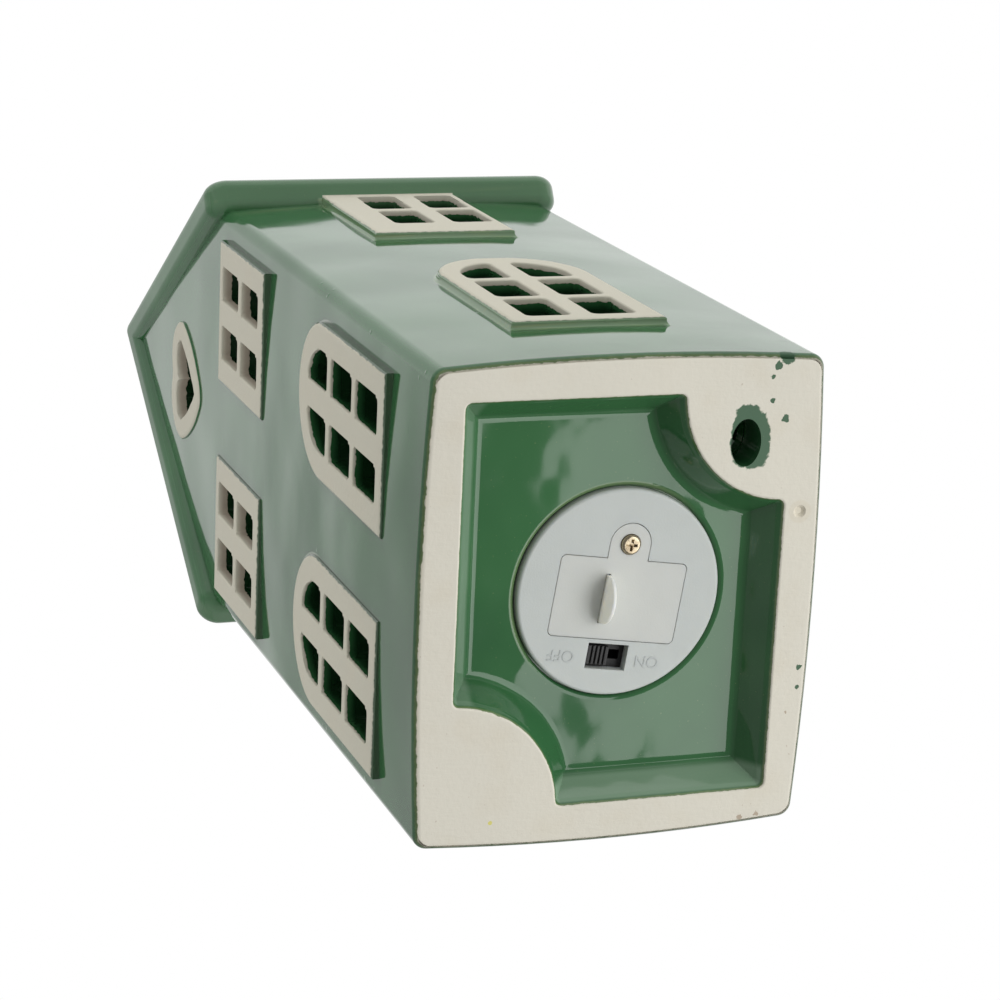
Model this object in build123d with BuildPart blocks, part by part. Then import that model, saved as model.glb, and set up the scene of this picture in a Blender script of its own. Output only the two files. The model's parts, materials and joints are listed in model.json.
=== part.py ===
from build123d import *
import os
from math import atan2, cos, degrees, hypot, radians, sin

os.makedirs("parts", exist_ok=True)

# Ceramic house, a hollow casting. Sizes are in millimetres.
house_width = 90.4
house_depth = 75.6
wall_bow = 1.5
wall = 4.0
corner_radius = 2.8
inner_corner_radius = 1.5
foot_edge_radius = 1.4

# Roof slab, its pitch set by the ridge and the eave
roof_span = 105.0
roof_length = 82.0
eave_height = 151.3
ridge_height = 234.4
roof_thickness = 8.5
roof_skin = 5.0
roof_seat = 1.0
roof_edge_radius = 3.0
roof_corner_radius = 5.0
ridge_radius = 3.0
course_count = 9
course_step = 0.6
plain_course = 0.5

# Raised window plates with pierced panes
gable_proud = 0.6
side_proud = 1.5
plate_edge = 0.5
gable_window_width = 31.4
side_window_width = 30.9
lower_spacing = 47.4
upper_spacing = 48.6
gable_arched_sill = 21.7
side_arched_sill = 22.7
arched_height = 56.3
gable_upper_sill = 106.7
gable_upper_height = 36.1
side_upper_sill = 107.3
side_upper_height = 42.0
side_upper_shift = 2.9
gable_stile = 5.4
side_stile = 4.5
gable_mullion = 5.6
side_mullion = 4.3
muntin = 2.2
arched_rail = 3.8
gable_upper_rail = 3.8
side_upper_rail = 9.2
top_rail = 2.4
pane_radius = 1.3
heart_rise = 0.261
heart_span = 0.225
heart_frame_share = 0.055
heart_slimness = 0.936
heart_notch_share = 0.194
heart_shoulder_share = 0.263
heart_lobe_place = 0.52
heart_cheek_place = 0.66
heart_cheek_drop = 0.13

# Recessed base
foot_rim = 6.1
recess_depth = 6.6
recess_wall_run = 4.6
recess_corner = 1.5
recess_cove = 2.2
recess_edge_radius = 0.6
boss_radius = 20.9
pour_hole_inset_x = 9.8
pour_hole_inset_y = 8.8
pour_hole_width = 6.0
pour_hole_length = 9.0
rim_dimple_x = 15.6
rim_dimple_radius = 1.25
rim_dimple_depth = 0.6
rim_dimple_taper = 45

# Light unit, turned a little in its hole. Its heights run up from its outer face.
unit_shift_y = 2.0
unit_turn = 8.0
flange_diameter = 40.0
flange_thickness = 2.0
flange_proud = 0.7
flange_edge_radius = 0.6
flange_gap = 0.3
seat_edge_radius = 1.1
body_diameter = 36.0
body_wall = 1.6
body_height = 18.4
ring_thickness = 0.8
ring_height = 2.2
ring_lift = 0.3
ring_gap = 0.25
ring_stretch = 0.05

# Button cells in a row, parted by the pull tab
cell_diameter = 11.6
cell_thickness = 5.4
cell_cap_diameter = 9.6
cell_cap_height = 0.5
cell_edge = 0.4
cell_gap = 0.1
cell_play = 0.3
contact_thickness = 0.3
contact_room = 0.9
contact_width = 6.0
contact_boss_taper = 22.5
contact_tail = 2.0
contact_slot_play = 0.2
tab_thickness = 0.6
tab_width = 9.2
tab_reach = 5.1
tab_depth = 9.0
tab_play = 0.2

# Battery door with its tongue and screw
door_length = 25.2
door_width = 15.5
door_thickness = 1.4
door_corner = 1.0
door_shift = -1.35
door_gap = 0.15
door_rib = 0.8
door_rib_height = 1.0
door_rib_gap = 0.2
tongue_width = 8.0
screw_offset = 9.4
screw_side = 0.5
screw_head_diameter = 3.8
screw_head_height = 1.3
screw_head_sink = 0.7
screw_head_gap = 0.15
screw_head_radius = 0.5
screw_diameter = 2.0
screw_length = 6.5
screw_play = 0.05
screw_cover = 1.0
cross_width = 0.55
cross_span = 2.3
cross_depth = 0.8
boss_wall = 1.6
tray_wall = 1.2

# Slide switch
switch_offset = -12.5
switch_window_length = 8.1
switch_window_width = 5.0
switch_case_length = 9.6
switch_case_width = 5.8
switch_case_height = 3.8
switch_case_wall = 0.5
switch_slot_width = 1.8
switch_travel = 3.4
slider_length = 4.2
slider_width = 3.6
slider_sink = 0.5
slider_gap = 0.2
slider_stem_length = 2.6
slider_foot_length = 3.8
slider_foot_width = 3.2
slider_foot_height = 1.2
slider_groove_count = 4
slider_groove_width = 0.35
slider_groove_depth = 0.4
terminal_pitch = 2.0
terminal_width = 0.7
terminal_thickness = 0.3
terminal_length = 2.2
guide_thickness = 1.2
guide_height = 3.5
guide_gap = 0.1

# Lamp, board and cover
board_diameter = 21.0
board_thickness = 1.0
lamp_diameter = 5.0
lamp_flange_diameter = 5.8
lamp_flange_height = 1.0
lamp_height = 8.6
lamp_lift = 0.6
lead_pitch = 2.54
lead_width = 0.5
lead_play = 0.1
resistor_diameter = 1.8
resistor_length = 4.2
resistor_lead_diameter = 0.5
resistor_pitch = 7.0
resistor_place = 6.0
resistor_lift = 0.1
lead_bend = 0.6
wire_diameter = 0.9
wire_bend = 1.4
wire_landing = -8.5
wire_lift = 0.05
cap_thickness = 1.4
cap_collar_height = 1.6
cap_collar_wall = 1.4
cap_edge_radius = 0.8
lamp_gap = 0.25
cap_screw_offset = 13.6
cap_screw_diameter = 1.7
cap_screw_head_diameter = 3.4
cap_screw_head_height = 1.1
cap_screw_head_edge = 0.4
cap_screw_length = 6.0
cap_boss_diameter = 4.4

# Worked out from the sizes above
half_width = house_width / 2
half_depth = house_depth / 2
slope_run = roof_span / 2
slope_rise = ridge_height - eave_height
slope_length = hypot(slope_run, slope_rise)
normal_x = slope_rise / slope_length
normal_z = slope_run / slope_length
slab_drop = roof_thickness / normal_z
skin_drop = roof_skin / normal_z
heart_level = eave_height + heart_rise * slope_rise
heart_width = heart_span * slope_rise
heart_height = heart_slimness * heart_width
heart_frame = heart_frame_share * slope_rise
plate_depth = max(gable_proud, side_proud) + wall_bow + wall / 2
pane_depth = max(gable_proud, side_proud) + wall_bow + 2 * wall
inner_floor = recess_depth + wall
recess_half_x = half_width - foot_rim
recess_half_y = half_depth - foot_rim
recess_taper = degrees(atan2(recess_wall_run, recess_depth))
filled_corners = [(recess_half_x, recess_half_y), (-recess_half_x, -recess_half_y)]
unit_face = recess_depth - flange_proud
seat_radius = flange_diameter / 2 + flange_gap
body_radius = body_diameter / 2
hole_radius = body_radius + ring_thickness + ring_gap
tab_room = tab_thickness + 2 * cell_gap
row_length = 3 * cell_thickness + tab_room
row_start = -row_length / 2
cell_starts = [
    row_start,
    row_start + cell_thickness + tab_room,
    row_start + 2 * cell_thickness + tab_room,
]
tab_place = row_start + cell_thickness + tab_room / 2
bay_length = row_length + 2 * (contact_room + contact_thickness)
bay_width = cell_diameter + 2 * cell_play
bay_top = door_thickness + cell_diameter + 2 * cell_play
cell_level = door_thickness + cell_play + cell_diameter / 2
tray_top = bay_top + tray_wall
board_top = tray_top + board_thickness
lamp_base = board_top + lamp_lift
cap_top = body_height + cap_thickness
screw_hole_radius = screw_diameter / 2 + screw_play
screw_tip = screw_head_sink + screw_length
switch_top = flange_thickness + switch_case_height
slider_rest = -switch_travel / 2


# Directions of the light unit: across points to the screw, along to the ON end of the switch
turn = radians(unit_turn)
across = Vector(cos(turn), sin(turn), 0)
along = Vector(-sin(turn), cos(turn), 0)


# Level plane of the light unit at a height above its outer face
def level(height, u=0.0, v=0.0):
    origin = Vector(0, unit_shift_y, unit_face + height) + across * u + along * v
    return Plane(origin=origin, x_dir=across, z_dir=(0, 0, 1))


# Upright plane square to the row of cells: x runs across, y up from the outer face
def upright(v=0.0):
    return Plane(origin=level(0, 0, v).origin, x_dir=across, z_dir=-along)


# Upright plane along the row of cells: x runs along the row, y up from the outer face
def lengthwise(u=0.0):
    return Plane(origin=level(0, u, 0).origin, x_dir=along, z_dir=across)


# Wall outline with gently bowed sides, moved inwards by the inset
def bowed_outline(inset):
    x = half_width - inset
    y = half_depth - inset
    with BuildLine() as outline:
        ThreePointArc((-x, -y), (0, -y - wall_bow), (x, -y))
        ThreePointArc((x, -y), (x + wall_bow, 0), (x, y))
        ThreePointArc((x, y), (0, y + wall_bow), (-x, y))
        ThreePointArc((-x, y), (-x - wall_bow, 0), (-x, -y))
    make_face(outline.edges())


# Window outline standing on its sill, with a round head when arched
def window_outline(place, sill, width, height, arched):
    low = place - width / 2
    high = place + width / 2
    top = sill + height
    shoulder = top - width / 2 if arched else top
    with BuildLine() as outline:
        Polyline((low, shoulder), (low, sill), (high, sill), (high, shoulder))
        if arched:
            ThreePointArc((high, shoulder), (place, top), (low, shoulder))
        else:
            Line((high, shoulder), (low, shoulder))
    make_face(outline.edges())


# Heart about its own level: two lobes, a notch between them and a point below
def heart_outline():
    half = heart_width / 2
    top = heart_level + heart_height / 2
    tip = heart_level - heart_height / 2
    notch = (0, top - heart_height * heart_notch_share)
    shoulder = (half, top - heart_height * heart_shoulder_share)
    lobe_top = (half * heart_lobe_place, top)
    cheek = (half * heart_cheek_place, heart_level - heart_height * heart_cheek_drop)
    with BuildLine() as outline:
        ThreePointArc(notch, lobe_top, shoulder)
        ThreePointArc(shoulder, cheek, (0, tip))
        mirror(about=Plane.YZ)
    make_face(outline.edges())


# Door outline with its round-ended tongue, grown all round
def door_outline(grow):
    with Locations((door_shift, 0)):
        RectangleRounded(door_width + 2 * grow, door_length + 2 * grow, door_corner + grow)
    tongue_length = screw_offset - door_shift
    with Locations((door_shift + tongue_length / 2, screw_side)):
        Rectangle(tongue_length, tongue_width + 2 * grow)
    with Locations((screw_offset, screw_side)):
        Circle(tongue_width / 2 + grow)


# Wall planes at the face of the window plates
gable_reach = half_depth + wall_bow + gable_proud
side_reach = half_width + wall_bow + side_proud
gable_planes = [
    Plane(origin=(0, -gable_reach, 0), x_dir=(1, 0, 0), z_dir=(0, -1, 0)),
    Plane(origin=(0, gable_reach, 0), x_dir=(-1, 0, 0), z_dir=(0, 1, 0)),
]
side_planes = [
    Plane(origin=(side_reach, 0, 0), x_dir=(0, 1, 0), z_dir=(1, 0, 0)),
    Plane(origin=(-side_reach, 0, 0), x_dir=(0, -1, 0), z_dir=(-1, 0, 0)),
]

# Each window: wall plane, place across the wall, sill, width, height, stile, mullion, bottom rail, arched,
# and how far its panes sit to one side
windows = []
for plane in gable_planes:
    for side in (-1, 1):
        windows.append(
            (plane, side * lower_spacing / 2, gable_arched_sill, gable_window_width, arched_height,
             gable_stile, gable_mullion, arched_rail, True, 0)
        )
        windows.append(
            (plane, side * upper_spacing / 2, gable_upper_sill, gable_window_width, gable_upper_height,
             gable_stile, gable_mullion, gable_upper_rail, False, 0)
        )
for plane in side_planes:
    windows.append(
        (plane, 0, side_arched_sill, side_window_width, arched_height,
         side_stile, side_mullion, arched_rail, True, 0)
    )
    windows.append(
        (plane, 0, side_upper_sill, side_window_width, side_upper_height,
         side_stile, side_mullion, side_upper_rail, False, side_upper_shift * plane.x_dir.Y)
    )

# Roof slab: two slopes of one thickness with lapped courses on top
slab_eave_x = slope_run - roof_thickness * normal_x
slab_eave_z = eave_height - roof_thickness * normal_z
course = slope_length / (course_count + plain_course)
with BuildPart() as roof_form:
    with BuildSketch(Plane.XZ):
        with BuildLine():
            Polyline(
                (0, ridge_height),
                (slope_run, eave_height),
                (slab_eave_x, slab_eave_z),
                (0, ridge_height - slab_drop),
                (-slab_eave_x, slab_eave_z),
                (-slope_run, eave_height),
                close=True,
            )
        make_face()
    extrude(amount=roof_length / 2, both=True)
    corners = roof_form.faces().filter_by(Axis.Y).edges().group_by(SortBy.LENGTH)[0]
    fillet(corners, radius=roof_corner_radius)
    ridge = roof_form.edges().filter_by(Axis.Y).sort_by(Axis.Z)[-1]
    fillet(ridge, radius=ridge_radius)
    slope_faces = roof_form.faces().sort_by(SortBy.AREA)[-4:]
    rims = slope_faces.edges().filter_by(lambda edge: abs(edge.center().X) > ridge_radius)
    fillet(rims, radius=roof_edge_radius)
    for side in (-1, 1):
        uphill = Vector(-side * slope_run, 0, slope_rise) / slope_length
        eave = Vector(side * slope_run, 0, eave_height)
        slope = Plane(origin=eave, x_dir=uphill, z_dir=(0, 1, 0))
        sunk = -side * course_step
        with BuildSketch(slope):
            for row in range(course_count):
                foot = row * course
                head = foot + course
                with BuildLine():
                    Polyline((foot, 0), (head, 0), (head, sunk), close=True)
                make_face()
        extrude(amount=roof_length, both=True, mode=Mode.SUBTRACT)

# Window plates, standing a little proud of the walls
with BuildPart() as plate_forms:
    for plane, place, sill, width, height, stile, mullion, rail, arched, shift in windows:
        with BuildSketch(plane):
            window_outline(place, sill, width, height, arched)
        extrude(amount=-plate_depth)
    for plane in gable_planes:
        with BuildSketch(plane) as heart_plate:
            heart_outline()
            offset(amount=heart_frame)
            notch = heart_plate.vertices().sort_by(lambda vertex: abs(vertex.X))[0]
            fillet(notch, radius=heart_frame)
        extrude(amount=-plate_depth)
    for plane in gable_planes + side_planes:
        outward = Axis(plane.origin, plane.z_dir)
        fronts = plate_forms.faces().filter_by(outward).group_by(outward)[-1]
        chamfer(fronts.edges(), length=plate_edge)

# Hollow inside the walls and under the roof
with BuildPart() as hollow_form:
    with BuildSketch(Plane.XY.offset(inner_floor)) as inner_outline:
        bowed_outline(wall)
        fillet(inner_outline.vertices(), radius=inner_corner_radius)
    extrude(amount=ridge_height)
    attic_eave = ridge_height - skin_drop - half_width * slope_rise / slope_run
    with BuildSketch(Plane.XZ):
        with BuildLine():
            Polyline(
                (-half_width, 0),
                (half_width, 0),
                (half_width, attic_eave),
                (0, ridge_height - skin_drop),
                (-half_width, attic_eave),
                close=True,
            )
        make_face()
    extrude(amount=house_depth, both=True, mode=Mode.INTERSECT)

# Recess in the base, its two filled corners left standing
with BuildPart() as recess_form:
    with BuildSketch() as recess_outline:
        Rectangle(2 * recess_half_x, 2 * recess_half_y)
        with Locations(*filled_corners):
            Circle(boss_radius, mode=Mode.SUBTRACT)
        fillet(recess_outline.vertices(), radius=recess_corner)
    extrude(amount=recess_depth, taper=recess_taper)
    fillet(recess_form.faces().sort_by(Axis.Z)[-1].edges(), radius=recess_cove)

# Whole casting: walls and roof, plates, hollow, panes, recessed base with the seat for the light
with BuildPart() as casting:
    with BuildSketch() as wall_outline:
        bowed_outline(0)
        fillet(wall_outline.vertices(), radius=corner_radius)
    extrude(amount=ridge_height)
    fillet(casting.faces().sort_by(Axis.Z)[0].edges(), radius=foot_edge_radius)
    with BuildSketch(Plane.XZ):
        half_slab_x = slope_run - roof_thickness / 2 * normal_x
        half_slab_z = eave_height - roof_thickness / 2 * normal_z
        with BuildLine():
            Polyline(
                (-half_slab_x, 0),
                (half_slab_x, 0),
                (half_slab_x, half_slab_z),
                (0, ridge_height - slab_drop / 2),
                (-half_slab_x, half_slab_z),
                close=True,
            )
        make_face()
    extrude(amount=roof_length, both=True, mode=Mode.INTERSECT)
    add(roof_form.part)
    add(plate_forms.part)
    add(hollow_form.part, mode=Mode.SUBTRACT)
    for plane, place, sill, width, height, stile, mullion, rail, arched, shift in windows:
        rows = 3 if arched else 2
        opening_height = height - rail - (stile if arched else top_rail)
        pane_pitch = (opening_height + muntin) / rows
        with BuildSketch(plane) as panes:
            window_outline(place + shift, sill + rail, width - 2 * stile, opening_height, arched)
            with Locations((place + shift, sill + height / 2)):
                Rectangle(mullion, height, mode=Mode.SUBTRACT)
            for row in range(1, rows):
                with Locations((place, sill + rail + row * pane_pitch - muntin / 2)):
                    Rectangle(width, muntin, mode=Mode.SUBTRACT)
            fillet(panes.vertices(), radius=pane_radius)
        extrude(amount=-pane_depth, mode=Mode.SUBTRACT)
    for plane in gable_planes:
        with BuildSketch(plane):
            heart_outline()
        extrude(amount=-pane_depth, mode=Mode.SUBTRACT)
    add(recess_form.part, mode=Mode.SUBTRACT)
    foot_face = casting.faces().filter_by(Axis.Z).sort_by(Axis.Z)[0]
    fillet(foot_face.inner_wires().edges(), radius=recess_edge_radius)
    with BuildSketch(level(0)):
        Circle(seat_radius)
    extrude(amount=flange_thickness, mode=Mode.SUBTRACT)
    seat_edges = casting.edges().filter_by(GeomType.CIRCLE)
    seat_edges = seat_edges.filter_by(lambda edge: abs(edge.radius - seat_radius) < flange_gap / 10)
    fillet(seat_edges.sort_by(Axis.Z)[0], radius=seat_edge_radius)
    with BuildSketch(level(0)):
        Circle(hole_radius)
    extrude(amount=inner_floor, mode=Mode.SUBTRACT)
    with BuildSketch():
        pour_x = recess_half_x - pour_hole_inset_x
        pour_y = recess_half_y - pour_hole_inset_y
        with Locations((pour_x, pour_y)):
            Ellipse(pour_hole_length / 2, pour_hole_width / 2)
    extrude(amount=inner_floor, mode=Mode.SUBTRACT)
    with BuildSketch():
        with Locations((rim_dimple_x, half_depth - foot_rim / 2)):
            Circle(rim_dimple_radius)
    extrude(amount=rim_dimple_depth, taper=rim_dimple_taper, mode=Mode.SUBTRACT)

# The casting is divided into plain members: foot rim, floor, four walls and two roof slopes
rim_plane = Plane.XY.offset(recess_depth - recess_cove)
wall_foot_plane = Plane.XY.offset(inner_floor)
slab_apex = (0, 0, ridge_height - slab_drop - roof_seat / normal_z)
slope_planes = [
    Plane(origin=slab_apex, x_dir=(0, 1, 0), z_dir=(normal_x, 0, normal_z)),
    Plane(origin=slab_apex, x_dir=(0, 1, 0), z_dir=(-normal_x, 0, normal_z)),
]
gable_split = half_depth - wall

with BuildPart() as base_rim:
    add(casting.part)
    split(bisect_by=rim_plane, keep=Keep.BOTTOM)
base_rim.part.label = "base_rim"
export_step(base_rim.part, "parts/base_rim.step")

with BuildPart() as base_floor:
    add(casting.part)
    split(bisect_by=rim_plane, keep=Keep.TOP)
    split(bisect_by=wall_foot_plane, keep=Keep.BOTTOM)
base_floor.part.label = "base_floor"
export_step(base_floor.part, "parts/base_floor.step")

roof_halves = [("right_roof", slope_planes[0], Keep.TOP), ("left_roof", slope_planes[1], Keep.BOTTOM)]
for name, slope_plane, half in roof_halves:
    with BuildPart() as roof_side:
        add(casting.part)
        split(bisect_by=slope_plane, keep=Keep.TOP)
        split(bisect_by=Plane.YZ, keep=half)
    roof_side.part.label = name
    export_step(roof_side.part, f"parts/{name}.step")

with BuildPart() as wall_ring:
    add(casting.part)
    split(bisect_by=wall_foot_plane, keep=Keep.TOP)
    for slope_plane in slope_planes:
        split(bisect_by=slope_plane, keep=Keep.BOTTOM)

front_plane = Plane.XZ.offset(gable_split)
back_plane = Plane.XZ.offset(-gable_split)
with BuildPart() as front_gable:
    add(wall_ring.part)
    split(bisect_by=front_plane, keep=Keep.TOP)
front_gable.part.label = "front_gable"
export_step(front_gable.part, "parts/front_gable.step")

with BuildPart() as back_gable:
    add(wall_ring.part)
    split(bisect_by=back_plane, keep=Keep.BOTTOM)
back_gable.part.label = "back_gable"
export_step(back_gable.part, "parts/back_gable.step")

for name, half in (("right_wall", Keep.TOP), ("left_wall", Keep.BOTTOM)):
    with BuildPart() as side_wall:
        add(wall_ring.part)
        split(bisect_by=front_plane, keep=Keep.BOTTOM)
        split(bisect_by=back_plane, keep=Keep.TOP)
        split(bisect_by=Plane.YZ, keep=half)
    side_wall.part.label = name
    export_step(side_wall.part, f"parts/{name}.step")

# Housing of the light unit: flange, cup, battery tray, bosses and switch guides
with BuildPart() as light_housing:
    with BuildSketch(level(0)):
        Circle(flange_diameter / 2)
    extrude(amount=flange_thickness)
    fillet(light_housing.faces().sort_by(Axis.Z)[0].edges(), radius=flange_edge_radius)
    with BuildSketch(level(flange_thickness)):
        Circle(body_radius)
        Circle(body_radius - body_wall, mode=Mode.SUBTRACT)
    extrude(amount=body_height - flange_thickness)
    with BuildSketch(level(flange_thickness, door_shift)):
        Rectangle(bay_width + 2 * tray_wall, bay_length + 2 * tray_wall)
    extrude(amount=tray_top - flange_thickness)
    with BuildSketch(level(flange_thickness, screw_offset, screw_side)):
        Circle(screw_hole_radius + boss_wall)
    extrude(amount=screw_tip + screw_cover - flange_thickness)
    with BuildSketch(level(flange_thickness)):
        with Locations((0, -cap_screw_offset), (0, cap_screw_offset)):
            Circle(cap_boss_diameter / 2)
    extrude(amount=body_height - flange_thickness)
    with BuildSketch(level(flange_thickness, switch_offset)):
        guide_place = switch_case_length / 2 + guide_gap + guide_thickness / 2
        with Locations((0, -guide_place), (0, guide_place)):
            Rectangle(slider_width, guide_thickness)
    extrude(amount=guide_height)
    with BuildSketch(level(0, door_shift)):
        Rectangle(bay_width, bay_length)
    extrude(amount=bay_top, mode=Mode.SUBTRACT)
    with BuildSketch(level(bay_top, door_shift)):
        slot_depth = contact_thickness + contact_slot_play
        slot_place = (bay_length - slot_depth) / 2
        with Locations((0, -slot_place), (0, slot_place)):
            Rectangle(contact_tail + 2 * contact_slot_play, slot_depth)
    extrude(amount=tray_wall, mode=Mode.SUBTRACT)
    with BuildSketch(level(0)):
        door_outline(door_gap)
    extrude(amount=door_thickness, mode=Mode.SUBTRACT)
    with BuildSketch(level(0, screw_offset, screw_side)):
        Circle(screw_hole_radius)
    extrude(amount=screw_tip + screw_play, mode=Mode.SUBTRACT)
    with BuildSketch(level(0, switch_offset)):
        Rectangle(switch_window_width, switch_window_length)
    extrude(amount=flange_thickness, mode=Mode.SUBTRACT)
    with BuildSketch(level(body_height)):
        with Locations((0, -cap_screw_offset), (0, cap_screw_offset)):
            Circle(cap_screw_diameter / 2 + screw_play)
    extrude(amount=-cap_screw_length, mode=Mode.SUBTRACT)
light_housing.part.label = "light_housing"
export_step(light_housing.part, "parts/light_housing.step")

# Soft ring that grips the hole in the casting
with BuildPart() as retaining_ring:
    with BuildSketch(level(flange_thickness + ring_lift)):
        Circle(body_radius + ring_thickness)
        Circle(body_radius + ring_stretch, mode=Mode.SUBTRACT)
    extrude(amount=ring_height)
    ring_rims = retaining_ring.edges().filter_by(GeomType.CIRCLE).sort_by(SortBy.RADIUS)[-2:]
    chamfer(ring_rims, length=ring_thickness / 3)
retaining_ring.part.label = "retaining_ring"
export_step(retaining_ring.part, "parts/retaining_ring.step")

# Cover on top of the unit, with a collar round the lamp
with BuildPart() as light_cap:
    with BuildSketch(level(body_height)):
        Circle(body_radius)
    extrude(amount=cap_thickness)
    fillet(light_cap.faces().sort_by(Axis.Z)[-1].edges(), radius=cap_edge_radius)
    with BuildSketch(level(cap_top)):
        Circle(lamp_diameter / 2 + lamp_gap + cap_collar_wall)
    extrude(amount=cap_collar_height)
    with BuildSketch(level(body_height)):
        Circle(lamp_diameter / 2 + lamp_gap)
        with Locations((0, -cap_screw_offset), (0, cap_screw_offset)):
            Circle(cap_screw_diameter / 2 + screw_play)
    extrude(amount=cap_thickness + cap_collar_height, mode=Mode.SUBTRACT)
light_cap.part.label = "light_cap"
export_step(light_cap.part, "parts/light_cap.step")

# Two screws that hold the cover
with BuildPart() as cap_screws:
    with BuildSketch(level(cap_top)):
        with Locations((0, -cap_screw_offset), (0, cap_screw_offset)):
            Circle(cap_screw_head_diameter / 2)
    extrude(amount=cap_screw_head_height)
    head_faces = cap_screws.faces().filter_by(Axis.Z).group_by(Axis.Z)[-1]
    chamfer(head_faces.edges(), length=cap_screw_head_edge)
    with BuildSketch(level(cap_top)):
        with Locations((0, -cap_screw_offset), (0, cap_screw_offset)):
            Circle(cap_screw_diameter / 2)
    extrude(amount=-cap_screw_length)
cap_screws.part.label = "cap_screws"
export_step(cap_screws.part, "parts/cap_screws.step")

# Battery door with its tongue, side ribs, screw hole and slit for the tab
with BuildPart() as battery_door:
    with BuildSketch(level(0)):
        door_outline(0)
    extrude(amount=door_thickness)
    with BuildSketch(level(door_thickness, door_shift)):
        rib_place = bay_width / 2 - door_rib_gap - door_rib / 2
        rib_length = row_length - 2 * door_rib_gap
        with Locations((-rib_place, 0), (rib_place, 0)):
            Rectangle(door_rib, rib_length)
    extrude(amount=door_rib_height)
    with BuildSketch(level(0, screw_offset, screw_side)):
        Circle(screw_head_diameter / 2 + screw_head_gap)
    extrude(amount=screw_head_sink, mode=Mode.SUBTRACT)
    with BuildSketch(level(0, screw_offset, screw_side)):
        Circle(screw_hole_radius)
    extrude(amount=door_thickness, mode=Mode.SUBTRACT)
    with BuildSketch(level(0, door_shift, tab_place)):
        Rectangle(tab_width + 2 * tab_play, tab_thickness + 2 * tab_play)
    extrude(amount=door_thickness, mode=Mode.SUBTRACT)
battery_door.part.label = "battery_door"
export_step(battery_door.part, "parts/battery_door.step")

# Cross-head screw that holds the door
with BuildPart() as door_screw:
    with BuildSketch(level(screw_head_sink, screw_offset, screw_side)):
        Circle(screw_head_diameter / 2)
    extrude(amount=-screw_head_height)
    fillet(door_screw.faces().sort_by(Axis.Z)[0].edges(), radius=screw_head_radius)
    with BuildSketch(level(screw_head_sink, screw_offset, screw_side)):
        Circle(screw_diameter / 2)
    extrude(amount=screw_length)
    chamfer(door_screw.faces().sort_by(Axis.Z)[-1].edges(), length=screw_diameter / 4)
    with BuildSketch(level(screw_head_sink - screw_head_height, screw_offset, screw_side)):
        Rectangle(cross_span, cross_width)
        Rectangle(cross_width, cross_span)
    extrude(amount=cross_depth, mode=Mode.SUBTRACT)
door_screw.part.label = "door_screw"
export_step(door_screw.part, "parts/door_screw.step")

# Pull tab: a flat strip between two cells that ends in a half-moon outside the door
with BuildPart() as battery_pull_tab:
    with BuildSketch(upright(tab_place + tab_thickness / 2)):
        low = door_shift - tab_width / 2
        high = door_shift + tab_width / 2
        round_start = tab_width / 2 - tab_reach
        with BuildLine():
            Polyline((low, round_start), (low, tab_depth), (high, tab_depth), (high, round_start))
            ThreePointArc((high, round_start), (door_shift, -tab_reach), (low, round_start))
        make_face()
    extrude(amount=tab_thickness)
battery_pull_tab.part.label = "battery_pull_tab"
export_step(battery_pull_tab.part, "parts/battery_pull_tab.step")

# Switch case with the slot that its slider runs in
with BuildPart() as switch_body:
    with BuildSketch(level(flange_thickness, switch_offset)):
        Rectangle(switch_case_width, switch_case_length)
    extrude(amount=switch_case_height)
    with BuildSketch(level(flange_thickness + switch_case_wall, switch_offset)):
        Rectangle(switch_case_width - 2 * switch_case_wall, switch_case_length - 2 * switch_case_wall)
    extrude(amount=switch_case_height - 2 * switch_case_wall, mode=Mode.SUBTRACT)
    with BuildSketch(level(flange_thickness, switch_offset)):
        Rectangle(switch_slot_width, slider_stem_length + switch_travel + 2 * slider_gap)
    extrude(amount=switch_case_wall, mode=Mode.SUBTRACT)
switch_body.part.label = "switch_body"
export_step(switch_body.part, "parts/switch_body.step")

# Slider: ribbed knob, stem through the slot, and foot inside the case
with BuildPart() as switch_slider:
    with BuildSketch(level(slider_sink, switch_offset, slider_rest)):
        Rectangle(slider_width, slider_length)
    extrude(amount=flange_thickness - slider_gap - slider_sink)
    with BuildSketch(level(slider_sink, switch_offset, slider_rest)):
        with GridLocations(1, slider_length / (slider_groove_count + 1), 1, slider_groove_count):
            Rectangle(slider_width, slider_groove_width)
    extrude(amount=slider_groove_depth, mode=Mode.SUBTRACT)
    foot_level = flange_thickness + switch_case_wall + slider_gap
    with BuildSketch(level(flange_thickness - slider_gap, switch_offset, slider_rest)):
        Rectangle(switch_slot_width - 2 * slider_gap, slider_stem_length)
    extrude(amount=foot_level - flange_thickness + slider_gap)
    with BuildSketch(level(foot_level, switch_offset, slider_rest)):
        Rectangle(slider_foot_width, slider_foot_length)
    extrude(amount=slider_foot_height)
switch_slider.part.label = "switch_slider"
export_step(switch_slider.part, "parts/switch_slider.step")

# Three pins of the switch
with BuildPart() as switch_terminals:
    with BuildSketch(level(switch_top, switch_offset)):
        with GridLocations(1, terminal_pitch, 1, 3):
            Rectangle(terminal_width, terminal_thickness)
    extrude(amount=terminal_length)
switch_terminals.part.label = "switch_terminals"
export_step(switch_terminals.part, "parts/switch_terminals.step")

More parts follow.
